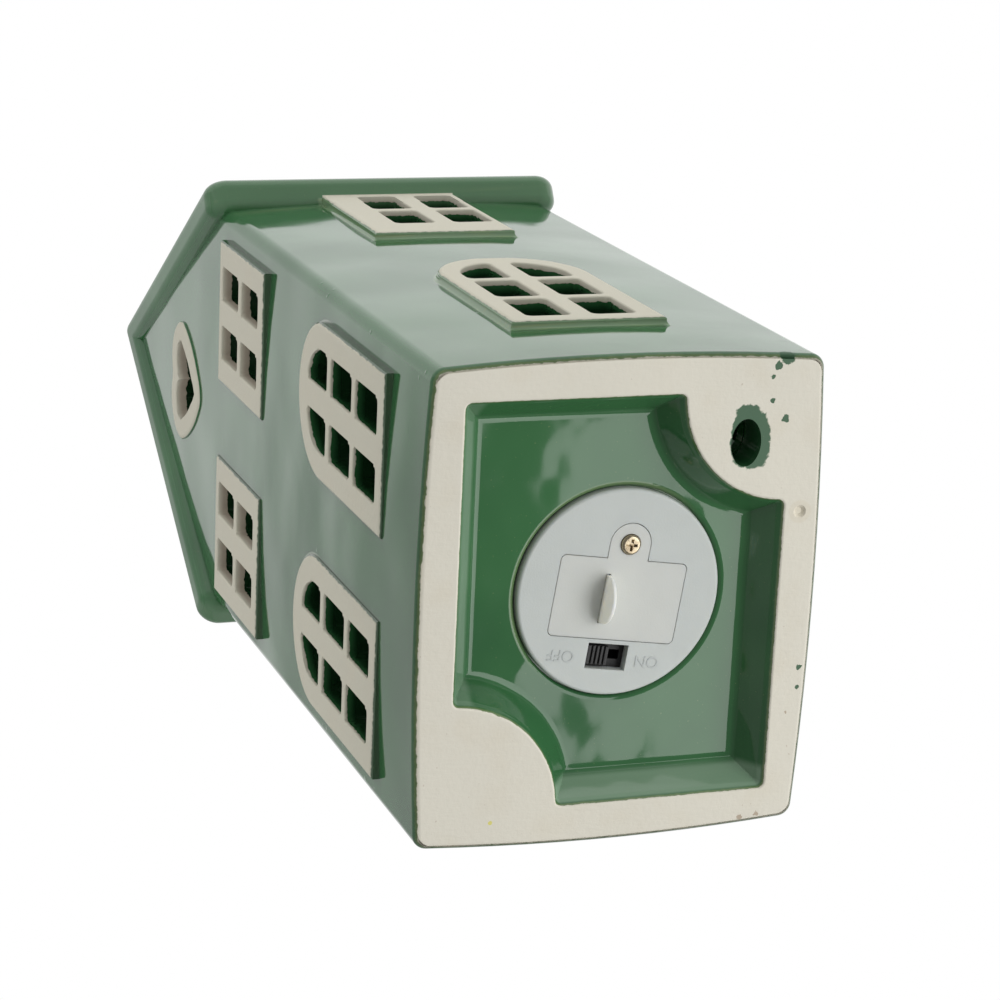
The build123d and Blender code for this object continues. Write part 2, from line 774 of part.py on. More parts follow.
# Two insulated leads from the outer pins to the board
wire_start = switch_top + terminal_length
wire_level = board_top + wire_diameter / 2 + wire_lift
with BuildPart() as switch_wires:
    for v in (-terminal_pitch, terminal_pitch):
        with BuildLine(upright(v)):
            FilletPolyline(
                (switch_offset, wire_start),
                (switch_offset, wire_level),
                (wire_landing, wire_level),
                radius=wire_bend,
            )
        with BuildSketch(level(wire_start, switch_offset, v)):
            Circle(wire_diameter / 2)
        sweep()
switch_wires.part.label = "switch_wires"
export_step(switch_wires.part, "parts/switch_wires.step")

# Button cells, each a can with a smaller cap on its negative side
for number, start in enumerate(cell_starts, 1):
    with BuildPart() as button_cell:
        cap_face = Plane(origin=level(cell_level, door_shift, start).origin, x_dir=across, z_dir=along)
        with BuildSketch(cap_face):
            Circle(cell_cap_diameter / 2)
        extrude(amount=cell_cap_height)
        with BuildSketch(cap_face.offset(cell_cap_height)):
            Circle(cell_diameter / 2)
        extrude(amount=cell_thickness - cell_cap_height)
        rims = button_cell.edges().filter_by(GeomType.CIRCLE).group_by(SortBy.RADIUS)[-1]
        chamfer(rims, length=cell_edge)
    button_cell.part.label = f"button_cell_{number}"
    export_step(button_cell.part, f"parts/button_cell_{number}.step")

# Positive contact: plate at the end of the bay with a bump that meets the last cell
with BuildPart() as positive_contact:
    inner_face = bay_length / 2 - contact_thickness
    end_plane = Plane(origin=level(cell_level, door_shift, inner_face).origin, x_dir=across, z_dir=along)
    with BuildSketch(end_plane):
        RectangleRounded(contact_width, contact_width, contact_tail / 2)
        with Locations((0, -(tray_top - cell_level) / 2)):
            Rectangle(contact_tail, tray_top - cell_level)
    extrude(amount=contact_thickness)
    with BuildSketch(end_plane):
        Circle(contact_tail)
    extrude(amount=-contact_room, taper=contact_boss_taper)
positive_contact.part.label = "positive_contact"
export_step(positive_contact.part, "parts/positive_contact.step")

# Negative contact: plate at the other end with a sprung leaf
with BuildPart() as negative_contact:
    outer_face = -bay_length / 2
    end_plane = Plane(origin=level(cell_level, door_shift, outer_face).origin, x_dir=across, z_dir=along)
    with BuildSketch(end_plane):
        RectangleRounded(contact_width, contact_width, contact_tail / 2)
        with Locations((0, -(tray_top - cell_level) / 2)):
            Rectangle(contact_tail, tray_top - cell_level)
    extrude(amount=contact_thickness)
    with BuildSketch(lengthwise(door_shift)):
        root = outer_face + contact_thickness
        crest = root + contact_room
        foot = cell_level - contact_width / 2
        head = cell_level + contact_width / 2
        with BuildLine():
            ThreePointArc((root, foot), (crest, cell_level), (root, head))
            Line((root, head), (root, head - contact_thickness))
            ThreePointArc(
                (root, head - contact_thickness),
                (crest - contact_thickness, cell_level),
                (root, foot + contact_thickness),
            )
            Line((root, foot + contact_thickness), (root, foot))
        make_face()
    extrude(amount=contact_tail, both=True)
negative_contact.part.label = "negative_contact"
export_step(negative_contact.part, "parts/negative_contact.step")

# Board on top of the battery tray
lead_places = [(-lead_pitch / 2, 0), (lead_pitch / 2, 0)]
with BuildPart() as circuit_board:
    with BuildSketch(level(tray_top)):
        Circle(board_diameter / 2)
        with Locations(*lead_places):
            Circle(lead_width + lead_play, mode=Mode.SUBTRACT)
    extrude(amount=board_thickness)
circuit_board.part.label = "circuit_board"
export_step(circuit_board.part, "parts/circuit_board.step")

# Lamp with its base flange and round nose
lamp_radius = lamp_diameter / 2
lamp_shoulder = lamp_base + lamp_height - lamp_radius
with BuildPart() as led_lamp:
    with BuildSketch(upright()):
        with BuildLine():
            Polyline(
                (0, lamp_base + lamp_height),
                (0, lamp_base),
                (lamp_flange_diameter / 2, lamp_base),
                (lamp_flange_diameter / 2, lamp_base + lamp_flange_height),
                (lamp_radius, lamp_base + lamp_flange_height),
                (lamp_radius, lamp_shoulder),
            )
            RadiusArc((lamp_radius, lamp_shoulder), (0, lamp_base + lamp_height), -lamp_radius)
        make_face()
    revolve(axis=Axis(level(0).origin, (0, 0, 1)))
led_lamp.part.label = "led_lamp"
export_step(led_lamp.part, "parts/led_lamp.step")

# Two leads of the lamp, standing in the board
with BuildPart() as led_leads:
    with BuildSketch(level(tray_top)):
        with Locations(*lead_places):
            Rectangle(lead_width, lead_width)
    extrude(amount=lamp_base - tray_top)
led_leads.part.label = "led_leads"
export_step(led_leads.part, "parts/led_leads.step")

# Resistor lying on the board on its bent leads
with BuildPart() as resistor:
    resistor_level = board_top + resistor_diameter / 2 + resistor_lift
    with BuildLine(upright(resistor_place)):
        FilletPolyline(
            (-resistor_pitch / 2, board_top),
            (-resistor_pitch / 2, resistor_level),
            (resistor_pitch / 2, resistor_level),
            (resistor_pitch / 2, board_top),
            radius=lead_bend,
        )
    with BuildSketch(level(board_top, -resistor_pitch / 2, resistor_place)):
        Circle(resistor_lead_diameter / 2)
    sweep()
    body_end = level(resistor_level, -resistor_length / 2, resistor_place).origin
    with BuildSketch(Plane(origin=body_end, x_dir=along, z_dir=across)):
        Circle(resistor_diameter / 2)
    extrude(amount=resistor_length)
resistor.part.label = "resistor"
export_step(resistor.part, "parts/resistor.step")
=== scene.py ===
import json
from math import atan2, copysign, cos, pi, radians, sin, sqrt
from types import SimpleNamespace

import bmesh
import bpy
from mathutils import Euler, Matrix, Vector


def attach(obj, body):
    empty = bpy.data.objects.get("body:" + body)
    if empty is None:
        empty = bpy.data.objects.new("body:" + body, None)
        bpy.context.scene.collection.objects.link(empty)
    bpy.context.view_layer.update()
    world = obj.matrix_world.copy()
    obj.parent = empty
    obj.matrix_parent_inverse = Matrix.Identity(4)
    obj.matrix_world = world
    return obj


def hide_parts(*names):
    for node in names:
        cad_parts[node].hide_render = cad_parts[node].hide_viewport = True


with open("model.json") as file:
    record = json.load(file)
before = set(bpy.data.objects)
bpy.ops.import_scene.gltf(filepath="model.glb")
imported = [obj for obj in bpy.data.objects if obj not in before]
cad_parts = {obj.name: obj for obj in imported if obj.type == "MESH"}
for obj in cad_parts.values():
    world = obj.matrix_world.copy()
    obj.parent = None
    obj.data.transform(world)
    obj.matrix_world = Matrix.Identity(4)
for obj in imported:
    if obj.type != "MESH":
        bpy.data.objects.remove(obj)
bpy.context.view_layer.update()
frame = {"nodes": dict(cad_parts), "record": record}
scene = bpy.context.scene
scene.view_settings.view_transform = "Standard"
print("frame:", len(frame["nodes"]), "nodes")


# a socket that does maths
class Wire:
    def __init__(self, maker, socket):
        self.maker = maker
        self.socket = socket

    def maths(self, operation, first, second=0.0):
        return self.maker.node("ShaderNodeMath", {"operation": operation}, {0: first, 1: second})

    def __add__(self, other):
        return self.maths("ADD", self, other)

    def __radd__(self, other):
        return self.maths("ADD", other, self)

    def __sub__(self, other):
        return self.maths("SUBTRACT", self, other)

    def __rsub__(self, other):
        return self.maths("SUBTRACT", other, self)

    def __mul__(self, other):
        return self.maths("MULTIPLY", self, other)

    def __rmul__(self, other):
        return self.maths("MULTIPLY", other, self)

    def __abs__(self):
        return self.maths("ABSOLUTE", self)

    def root(self):
        return self.maths("SQRT", self)

    def least(self, other):
        return self.maths("MINIMUM", self, other)

    def most(self, other):
        return self.maths("MAXIMUM", self, other)

    # 0 at the first value, 1 at the second, soft between
    def ease(self, start, end):
        return self.maker.node(
            "ShaderNodeMapRange",
            {"interpolation_type": "SMOOTHSTEP"},
            {"Value": self, "From Min": start, "From Max": end},
        )


class Shade:
    def __init__(self, owner):
        owner.use_nodes = True
        self.tree = owner.node_tree
        self.tree.nodes.clear()

    def node(self, kind, settings=None, values=None, out=0):
        made = self.tree.nodes.new(kind)
        for key, value in (settings or {}).items():
            setattr(made, key, value)
        for key, value in (values or {}).items():
            if isinstance(value, Wire):
                self.tree.links.new(value.socket, made.inputs[key])
            else:
                made.inputs[key].default_value = value
        return Wire(self, made.outputs[out]) if len(made.outputs) else made

    # Object coordinates in millimetres
    def millimetres(self, stretch=(1, 1, 1)):
        place = self.node("ShaderNodeTexCoord", out="Object")
        scale = tuple(1000 * along for along in stretch)
        return self.node("ShaderNodeMapping", None, {"Vector": place, "Scale": scale})

    def axis(self, place, name):
        return self.node("ShaderNodeSeparateXYZ", None, {"Vector": place}, name)

    def grain(self, place, size, detail=2.0, rough=0.5):
        values = {"Vector": place, "Scale": 1 / size, "Detail": detail, "Roughness": rough}
        return self.node("ShaderNodeTexNoise", None, values)

    # 1 within the reach of a point, with a frayed edge
    def near(self, place, point, reach, fray=0.0):
        gap = self.node("ShaderNodeVectorMath", {"operation": "DISTANCE"}, {0: place, 1: point}, "Value")
        return (gap + fray).ease(reach * 1.1, reach * 0.9)

    # small round pits, scattered at a size
    def pits(self, place, size):
        values = {"Vector": place, "Scale": 1 / size, "Randomness": 1.0}
        return self.node("ShaderNodeTexVoronoi", None, values, "Distance")

    def mix(self, amount, first, second):
        return self.node("ShaderNodeMix", {"data_type": "RGBA"}, {0: amount, 6: first, 7: second}, 2)

    def bump(self, height, depth, before=None):
        values = {"Strength": 1.0, "Distance": depth, "Height": height}
        if before is not None:
            values["Normal"] = before
        return self.node("ShaderNodeBump", None, values)

    def surface(self, values):
        body = self.node("ShaderNodeBsdfPrincipled", None, values)
        self.node("ShaderNodeOutputMaterial", None, {"Surface": body})


def newMaterial(name):
    material = bpy.data.materials.new(name)
    return material, Shade(material)


def rgb(r, g, b):
    return (r, g, b, 1.0)


# ceramic: green glaze over pale clay, bare on the foot and on the window faces. All in millimetres.
clayLook = {
    "deepGreen": rgb(0.020, 0.096, 0.033),
    "midGreen": rgb(0.044, 0.160, 0.056),
    # painted light: a lighter green for the eaves, where light falls on them
    "litEaveGreen": rgb(0.078, 0.182, 0.086),
    # pale thin glaze, also used for the painted highlight on the sill streaks and the painted light round the
    # light unit's seat
    "thinGlazeSheenGreen": rgb(0.270, 0.330, 0.150),
    # painted highlight: a pale glaze colour for lines along the arched plate edges
    "highlightGlaze": rgb(0.480, 0.540, 0.450),
    # painted shade: near black for the inside of the house and behind the panes
    "innerShadeGreen": rgb(0.003, 0.014, 0.005),
    "stripGreen": rgb(0.060, 0.098, 0.058),
    # painted reflection: a lighter green on the sides of the side plates
    "sillSheenGreen": rgb(0.215, 0.330, 0.190),
    # painted reflection: pale green for the walls of the recess
    "wallSheenGreen": rgb(0.230, 0.350, 0.240),
    "clay": rgb(0.745, 0.715, 0.615),
    "clayWarm": rgb(0.690, 0.635, 0.510),
    "plateClay": rgb(0.665, 0.640, 0.530),
    # painted shade: darker brown clay deep in the panes
    "paneShadeClay": rgb(0.430, 0.360, 0.280),
    "stain": rgb(0.300, 0.190, 0.100),
    "yellow": rgb(0.720, 0.660, 0.100),
    "glazeRough": 0.06,
    "clayRough": 0.80,
    "drippedRough": 0.45,
    "vergeRough": 0.30,
    "gableFace": 39.9,   # from the middle to the faces of the window plates
    "sideFace": 48.2,
    "bareSkin": 0.30,    # how far the bare clay goes back from those faces
    "bareEdge": 0.12,
    "roofLine": 214.0,   # underside of the roof over the middle
    "roofSlope": 1.583,
    "ceiling": 228.0,    # between the room under the roof and its outside, over the middle
    "roomHalf": (41.2, 33.8),
    "roomFloor": 10.6,
    "heart": {
        "half": 9.6, "tip": 163.0, "lean": 0.95, "bareWall": 2.2,
        "foot": (150.0, 151.0), "top": (183.0, 182.0),
    },
    "gableWindows": (
        {"middle": 23.7, "sill": 21.7, "width": 31.4, "height": 56.3, "arched": True, "bareWall": 0.3},
        {"middle": 24.3, "sill": 106.7, "width": 31.4, "height": 36.1, "arched": False, "bareWall": 1.9},
    ),
    "sideWindows": (
        {"middle": 0.0, "sill": 22.7, "width": 30.9, "height": 56.3, "arched": True, "bareWall": 0.8},
        {"middle": 0.0, "sill": 107.3, "width": 30.9, "height": 42.0, "arched": False, "bareWall": 0.9},
    ),
    "footEdge": 0.16,    # height where the glaze stops
    "dimple": ((15.6, 34.75, 0.0), 2.2),
    "pourHole": {"middle": (29.3, 22.9), "half": (4.5, 3.0), "thickSide": (0.16, 0.30), "thicker": 0.55},
    "seat": {"middle": (0.0, 2.0), "start": 20.3, "end": 21.5},   # glaze lip round the light unit, painted pale to lift the shade in the gap
    # frayed spots on the foot: place and reach
    "drips": (
        ((45.2, 30.2, 0.4), 1.5), ((43.6, 28.4, 0.0), 0.75), ((41.6, 27.5, 0.0), 0.45),
        ((37.1, 27.7, 0.0), 0.45), ((33.6, 30.5, 0.0), 0.65),
        ((-15.0, 36.9, 0.0), 0.5), ((-19.0, 36.9, 0.0), 0.4),
    ),
    "brownStains": (((-44.4, 27.0, 0.0), 0.4), ((-44.2, 30.3, 0.0), 0.45), ((-24.0, 35.0, 0.0), 0.3)),
    "yellowStain": ((-41.0, -23.4, 0.0), 0.42),
    # where soft borders start and end
    "zones": {
        "baseWide": (42.0, 41.0), "baseDeep": (35.0, 34.0),
        "recessFoot": (0.6, 1.6), "recessHead": (8.2, 7.4),
        "recessLeft": (-26.6, -28.4), "recessNear": (-34.0, -35.8),
        "wallFoot": (0.5, 1.0), "wallHead": (6.6, 5.0),
        "holeHead": (8.0, 6.0), "seatHead": (8.6, 8.2), "seatSide": (-6.0, 14.0),
        "footClay": (12.0, 16.0), "plateFoot": (15.0, 16.0), "plateHead": (150.0, 149.0),
        "gableSkin": (3.0, 2.0), "sideSkin": (4.2, 3.4), "sideRun": (34.0, 33.0),
        "archFoot": (60.0, 66.0), "archHead": (80.0, 79.0),
        "eaveRise": (140.5, 146.5), "eaveOut": (44.5, 46.5), "eaveNose": (50.0, 47.0),
        "vergeOut": (39.95, 40.4), "vergeRise": (140.0, 142.0),
        "cornerWide": (41.0, 43.5), "cornerDeep": (35.5, 37.0), "cornerHead": (90.0, 75.0),
    },
}


# millimetres outside the outline of a window plate, below zero on the plate
def plateGap(across, height, window):
    half = window["width"] / 2
    top = window["sill"] + window["height"]
    if window["arched"]:
        rise = (height - (top - half)).most(0.0)
        return ((across * across + rise * rise).root() - half).most(window["sill"] - height)
    middle = (window["sill"] + top) / 2
    return (abs(across) - half).most(abs(height - middle) - window["height"] / 2)


# how deep the bare clay goes on one wall, the nearest plate's outline, and where the panes are
def wallPlates(across, height, windows, bareSkin):
    reach, gap, panes = bareSkin, None, None
    for window in windows:
        thisGap = plateGap(across - window["middle"], height, window)
        thisPane = thisGap.ease(-0.7, -1.1)
        reach = reach + thisPane * window["bareWall"]
        gap = gap.least(thisGap) if gap else thisGap
        panes = panes.most(thisPane) if panes else thisPane
    return reach, gap, panes


# places and noises that the ceramic's colours share
def claySpots(s, look):
    at = SimpleNamespace(place=s.millimetres(), zone=look["zones"])
    at.x, at.y, at.z = (s.axis(at.place, name) for name in "XYZ")
    at.wide, at.deep = abs(at.x), abs(at.y)
    at.roofRise = at.z + at.wide * look["roofSlope"]
    at.inBase = at.wide.ease(*at.zone["baseWide"]) * at.deep.ease(*at.zone["baseDeep"])
    at.soft = s.grain(at.place, 26.0, 2.0)
    at.cloud = s.grain(at.place, 9.0, 3.0)
    at.fine = s.grain(at.place, 2.2, 3.0)
    at.ragged = s.grain(at.place, 1.3, 3.0, 0.6) - 0.5
    return at


# bare foot, with glaze round the pour hole and in drips
def markFoot(s, look, at):
    hole = look["pourHole"]
    holeX, holeY = at.x - hole["middle"][0], at.y - hole["middle"][1]
    holeU, holeV = holeX * (1 / hole["half"][0]), holeY * (1 / hole["half"][1])
    holeGap = (holeU * holeU + holeV * holeV).root()
    thick = (holeY * hole["thickSide"][1] + holeX * hole["thickSide"][0]).ease(-0.9, 0.7) * hole["thicker"]
    ring = (holeGap + at.ragged * 0.5).ease(thick + 1.12, thick + 1.0)
    at.dripped = ring * at.z.ease(*at.zone["holeHead"])
    for point, reach in look["drips"]:
        at.dripped = at.dripped.most(s.near(at.place, point, reach, at.ragged * 1.6))
    at.dimple = s.near(at.place, *look["dimple"])
    at.footEdge = look["footEdge"] + at.ragged * 0.40 + (at.cloud - 0.5) * 0.25
    at.foot = (at.z.ease(at.footEdge + 0.10, at.footEdge) * (1 - at.dripped)).most(at.dimple)


# bare faces of the window plates, with the first of their pane walls
def markPlates(look, at):
    at.gableDepth, at.sideDepth = look["gableFace"] - at.deep, look["sideFace"] - at.wide
    gableReach, at.gableGap, gablePanes = wallPlates(at.wide, at.z, look["gableWindows"], look["bareSkin"])
    sideReach, at.sideGap, at.sidePanes = wallPlates(at.deep, at.z, look["sideWindows"], look["bareSkin"])
    heart = look["heart"]
    heartPane = at.wide.ease(heart["half"] + 0.3, heart["half"])
    heartPane = heartPane * (at.wide - (at.z - heart["tip"]) * heart["lean"]).ease(0.3, 0.0)
    heartPane = heartPane * at.z.ease(*heart["foot"]) * at.z.ease(*heart["top"])
    at.gablePanes = gablePanes.most(heartPane)
    gableReach = gableReach + heartPane * heart["bareWall"] + at.ragged * (at.gablePanes * 0.8 + 0.12)
    sideReach = sideReach + at.ragged * (at.sidePanes * 0.9 + 0.12)
    at.plateHead = at.z.ease(*at.zone["plateHead"])
    gableRim = (at.gableGap + at.ragged * 0.6).ease(-0.45, -0.15) * at.plateHead
    sideRim = (at.sideGap + at.ragged * 0.5).ease(-0.40, -0.10)
    underRoof = at.roofRise.ease(look["roofLine"], look["roofLine"] - 1.0)
    gableBare = at.gableDepth.ease(gableReach + look["bareEdge"], gableReach) * underRoof
    gableBare = gableBare * at.z.ease(*at.zone["plateFoot"]) * (1 - gableRim)
    sideBare = at.sideDepth.ease(sideReach + look["bareEdge"], sideReach)
    sideBare = sideBare * at.sideDepth.ease(-0.25, -0.10) * (1 - sideRim)
    at.bare = at.foot.most(gableBare).most(sideBare)


# thin lip of glaze on the far side of the light unit's seat, painted pale to lift the shade in the gap round
# the unit
def seatLitLip(seat, at):
    offX, offY = at.x - seat["middle"][0], at.y - seat["middle"][1]
    gap = (offX * offX + offY * offY).root()
    lip = gap.ease(seat["end"], seat["end"] - 0.5) * gap.ease(seat["start"] - 0.4, seat["start"])
    return lip * at.z.ease(*at.zone["seatHead"]) * (at.x - at.y).ease(*at.zone["seatSide"])


# glaze: deep in pools, painted lighter on the eaves where light falls, thin at its borders, painted shade
# inside the house
def glazeColour(s, look, at):
    zone = at.zone
    onGable = at.gableDepth.ease(*zone["gableSkin"])
    onSide = at.sideDepth.ease(*zone["sideSkin"]) * at.deep.ease(*zone["sideRun"])
    at.pool = (at.gableGap.ease(3.2, 0.2) * onGable).most(at.sideGap.ease(3.0, 0.2) * onSide)
    eaves = at.z.ease(*zone["eaveRise"]) * at.wide.ease(*zone["eaveOut"])
    sill = at.sideGap.ease(-0.6, -0.1) * onSide * at.sideDepth.ease(0.2, 0.5)
    strip = at.gableGap.ease(-0.5, -0.2) * at.gableGap.ease(0.6, 0.2) * onGable * at.plateHead
    streak = s.grain(s.millimetres((0.35, 0.05, 0.5)), 3.0, 3.0)
    # painted reflection: pale streaked bands on the walls of the recess under the foot
    lowWallSheen = (at.y.ease(*zone["recessLeft"]) * 0.55).most(at.x.ease(*zone["recessNear"]))
    lowWallSheen = lowWallSheen * at.z.ease(*zone["wallFoot"]) * at.z.ease(*zone["wallHead"]) * at.inBase
    green = s.mix(at.soft.ease(0.30, 0.72) * 0.55 + 0.35, look["deepGreen"], look["midGreen"])
    green = s.mix(at.pool * 0.55, green, look["deepGreen"])
    # painted light: the eaves made lighter, as if lit
    green = s.mix(eaves * 0.85, green, look["litEaveGreen"])
    # painted reflection: the sides of the side plates made lighter
    green = s.mix(sill * at.sideGap.ease(1.2, 0.3) * 0.85, green, look["sillSheenGreen"])
    green = s.mix(strip * 0.8, green, look["stripGreen"])
    green = s.mix(lowWallSheen * (streak * 0.5 + 0.6), green, look["wallSheenGreen"])

    # thin where it runs off an edge; the sill streaks are also painted highlight
    eaveRuns = streak.ease(0.56, 0.74) * eaves * at.wide.ease(*zone["eaveNose"]) * 0.6
    sillSheenRuns = s.grain(s.millimetres((1.0, 0.06, 1.0)), 0.9, 2.0).ease(0.52, 0.75)
    sillSheenRuns = sillSheenRuns * sill * at.sideGap.ease(1.6, 0.3) * 0.7
    footLip = at.z.ease(at.footEdge + 0.60, at.footEdge + 0.12) * (1 - at.dripped) * 0.55
    # the seat lip is painted light over the shaded gap round the light unit
    thin = eaveRuns.most(sillSheenRuns).most(footLip).most(seatLitLip(look["seat"], at) * 0.35)
    green = s.mix(thin, green, look["thinGlazeSheenGreen"])
    green = s.mix(at.dripped * 0.9, green, look["deepGreen"])
    # painted highlight: a pale line along the arched plate edges, partly thin glaze
    archHighlightLine = abs(at.gableGap - 0.25).ease(0.35, 0.08) * onGable
    archHighlightLine = archHighlightLine * at.z.ease(*zone["archFoot"]) * at.z.ease(*zone["archHead"])
    green = s.mix(archHighlightLine * 0.55, green, look["highlightGlaze"])
    green = s.mix(s.grain(at.place, 0.5, 1.0).ease(0.72, 0.80) * 0.25, green, look["thinGlazeSheenGreen"])

    # painted shade: dark behind the panes and in the room
    halfWide, halfDeep = look["roomHalf"]
    room = at.wide.ease(halfWide + 0.3, halfWide) * at.deep.ease(halfDeep + 0.3, halfDeep)
    room = room * at.z.ease(look["roomFloor"] - 0.3, look["roomFloor"])
    room = room * at.roofRise.ease(look["ceiling"] + 1.0, look["ceiling"])
    gableShade = at.gablePanes * at.gableDepth.ease(0.6, 2.4)
    sideShade = at.sidePanes * at.sideDepth.ease(1.0, 3.0)
    return s.mix(room.most(gableShade.most(sideShade) * 0.85), green, look["innerShadeGreen"])


# clay: stained on the foot, with painted shade in the dimple, duller on the window plates, with painted shade
# deeper in the panes
def clayColour(s, look, at):
    aged = at.cloud.ease(0.45, 0.8)
    foot = s.mix(aged * 0.4, look["clay"], look["clayWarm"])
    stained = s.grain(at.place, 0.8, 1.0).ease(0.755, 0.80) * 0.3
    for point, reach in look["brownStains"]:
        stained = stained.most(s.near(at.place, point, reach, at.ragged * 1.8) * 0.6)
    foot = s.mix(stained, foot, look["stain"])
    foot = s.mix(s.near(at.place, *look["yellowStain"], at.ragged * 0.4) * 0.8, foot, look["yellow"])
    # painted shade: the dimple halfway to the darker, warmer clay, as shade in its hollow
    foot = s.mix(at.dimple * 0.5, foot, look["clayWarm"])
    plates = s.mix(aged * 0.3, look["plateClay"], look["clayWarm"])
    clay = s.mix(at.z.ease(*at.zone["footClay"]), foot, plates)
    gableShade = at.gablePanes * at.gableDepth.ease(0.2, 1.6)
    sideShade = at.sidePanes * at.sideDepth.ease(0.3, 2.0)
    return s.mix(gableShade.most(sideShade) * 0.8, clay, look["paneShadeClay"])


# glaze runs in soft waves with a few pits, the foot is sanded
def clayNormal(s, at):
    zone = at.zone
    recess = at.z.ease(*zone["recessHead"]) * at.z.ease(*zone["recessFoot"]) * at.inBase
    corner = at.wide.ease(*zone["cornerWide"]) * at.deep.ease(*zone["cornerDeep"])
    corner = corner * at.z.ease(*zone["cornerHead"])
    pitted = s.pits(at.place, 3.4).ease(0.17, 0.05) * corner.most(at.pool * 0.5) * (1 - at.bare)
    sanded = s.grain(s.millimetres((1.0, 0.22, 1.0)), 0.7, 3.0)
    wave = s.bump(s.grain(at.place, 24.0, 0.0), 0.00055)
    ripple = s.bump(s.grain(at.place, 10.0, 0.5) * (recess * 0.8 + 0.2), 0.00030, wave)
    pit = s.bump(pitted, 0.00007, ripple)
    return s.bump((sanded + at.ragged) * at.bare, 0.00006, pit)


def makeCeramic(look):
    material, s = newMaterial("glazedClay")
    at = claySpots(s, look)
    markFoot(s, look, at)
    markPlates(look, at)
    green = glazeColour(s, look, at)
    rough = at.bare * (look["clayRough"] - look["glazeRough"]) + look["glazeRough"] + (at.fine - 0.5) * 0.04
    verge = at.deep.ease(*at.zone["vergeOut"]) * at.z.ease(*at.zone["vergeRise"]) * look["vergeRough"]
    s.surface({
        "Base Color": s.mix(at.bare, green, clayColour(s, look, at)),
        "Roughness": rough + (at.dripped * look["drippedRough"]).most(verge) * (1 - at.bare),
        "Coat Weight": (1 - at.bare) * 0.10,
        "Coat Roughness": 0.03,
        "IOR": 1.52,
        "Normal": clayNormal(s, at),
    })
    return material


# moulded plastics, metals and the small inner finishes
def makePlastic(name, base, shade, rough, milky=0.0):
    material, s = newMaterial(name)
    place = s.millimetres()
    cloud = s.grain(place, 6.0, 3.0)
    tooth = s.grain(place, 0.35, 2.0)
    s.surface({
        "Base Color": s.mix(cloud.ease(0.3, 0.75) * 0.6, base, shade),
        "Roughness": rough + (tooth - 0.5) * 0.12,
        "IOR": 1.46,
        "Subsurface Weight": milky,
        "Subsurface Radius": (0.0030, 0.0027, 0.0022),
        "Subsurface Scale": 1.0,
        "Normal": s.bump(tooth, 0.00002),
    })
    return material


def makeMetal(name, base, shade, rough, stretch=(1, 1, 1)):
    material, s = newMaterial(name)
    brushed = s.grain(s.millimetres(stretch), 0.25, 3.0)
    worn = s.grain(s.millimetres(), 1.6, 3.0)
    s.surface({
        "Base Color": s.mix(worn.ease(0.4, 0.75), base, shade),
        "Metallic": 1.0,
        "Roughness": rough + (worn - 0.5) * 0.2,
        "Normal": s.bump(brushed, 0.00001),
    })
    return material


# lamp: clear warm resin with a yellow core at its foot
lampLook = {"resin": rgb(0.86, 0.83, 0.72), "core": rgb(0.80, 0.66, 0.22), "coreHead": (27.5, 24.5)}


def makeResin(look):
    material, s = newMaterial("lampResin")
    place = s.millimetres()
    core = s.axis(place, "Z").ease(*look["coreHead"])
    s.surface({
        "Base Color": s.mix(core, look["resin"], look["core"]),
        "Roughness": 0.06 + s.grain(place, 1.5, 2.0) * 0.05,
        "IOR": 1.5,
        "Subsurface Weight": 0.3,
        "Subsurface Radius": (0.002, 0.0016, 0.001),
    })
    return material


# resistor: banded beige body between two bare leads, in millimetres along it
resistorLook = {
    "turn": {"Location": (0, -8, 0), "Rotation": (0, 0, radians(-8))},
    "bands": (-1.4, -0.5, 0.4),
    "bandEdge": (0.28, 0.22),
    "middle": -0.8,
    "bodyEnd": (2.05, 2.15),
    "body": rgb(0.70, 0.56, 0.36),
    "band": rgb(0.30, 0.08, 0.03),
    "lead": rgb(0.60, 0.60, 0.60),
}


def makeResistorCoat(look):
    material, s = newMaterial("resistorCoat")
    place = s.millimetres()
    run = s.axis(s.node("ShaderNodeMapping", None, {"Vector": place, **look["turn"]}), "X")
    coat = look["body"]
    for middle in look["bands"]:
        coat = s.mix(abs(run - middle).ease(*look["bandEdge"]), coat, look["band"])
    leads = abs(run - look["middle"]).ease(*look["bodyEnd"])
    s.surface({
        "Base Color": s.mix(leads, coat, look["lead"]),
        "Metallic": leads,
        "Roughness": 0.3 + s.grain(place, 0.8, 2.0) * 0.1,
    })
    return material


def makeBoard(base, shade):
    material, s = newMaterial("boardLaminate")
    fibre = s.grain(s.millimetres((1.0, 0.15, 1.0)), 0.4, 3.0)
    s.surface({
        "Base Color": s.mix(fibre.ease(0.3, 0.7), base, shade),
        "Roughness": 0.5 + (fibre - 0.5) * 0.2,
        "Normal": s.bump(fibre, 0.00002),
    })
    return material


# plastics: base, shade, roughness and how milky; metals: base, shade, roughness and stretch
plasticLook = {
    "white_plastic": ("whiteMoulding", rgb(0.580, 0.613, 0.588), rgb(0.545, 0.580, 0.558), 0.42, 0.25),
    "door_plastic": ("doorMoulding", rgb(0.640, 0.655, 0.618), rgb(0.605, 0.622, 0.588), 0.46, 0.25),
    "ivory_film": ("ivoryStrip", rgb(0.960, 0.945, 0.845), rgb(0.930, 0.915, 0.800), 0.4, 0.9),
    "black_plastic": ("blackKnob", rgb(0.012, 0.012, 0.012), rgb(0.02, 0.02, 0.02), 0.38),
    "switch_black": ("switchCase", rgb(0.010, 0.010, 0.010), rgb(0.016, 0.016, 0.016), 0.5),
    "clear_rubber": ("softRing", rgb(0.52, 0.52, 0.48), rgb(0.46, 0.46, 0.42), 0.55),
    "wire_cover": ("wireCover", rgb(0.30, 0.02, 0.015), rgb(0.24, 0.015, 0.012), 0.4),
}
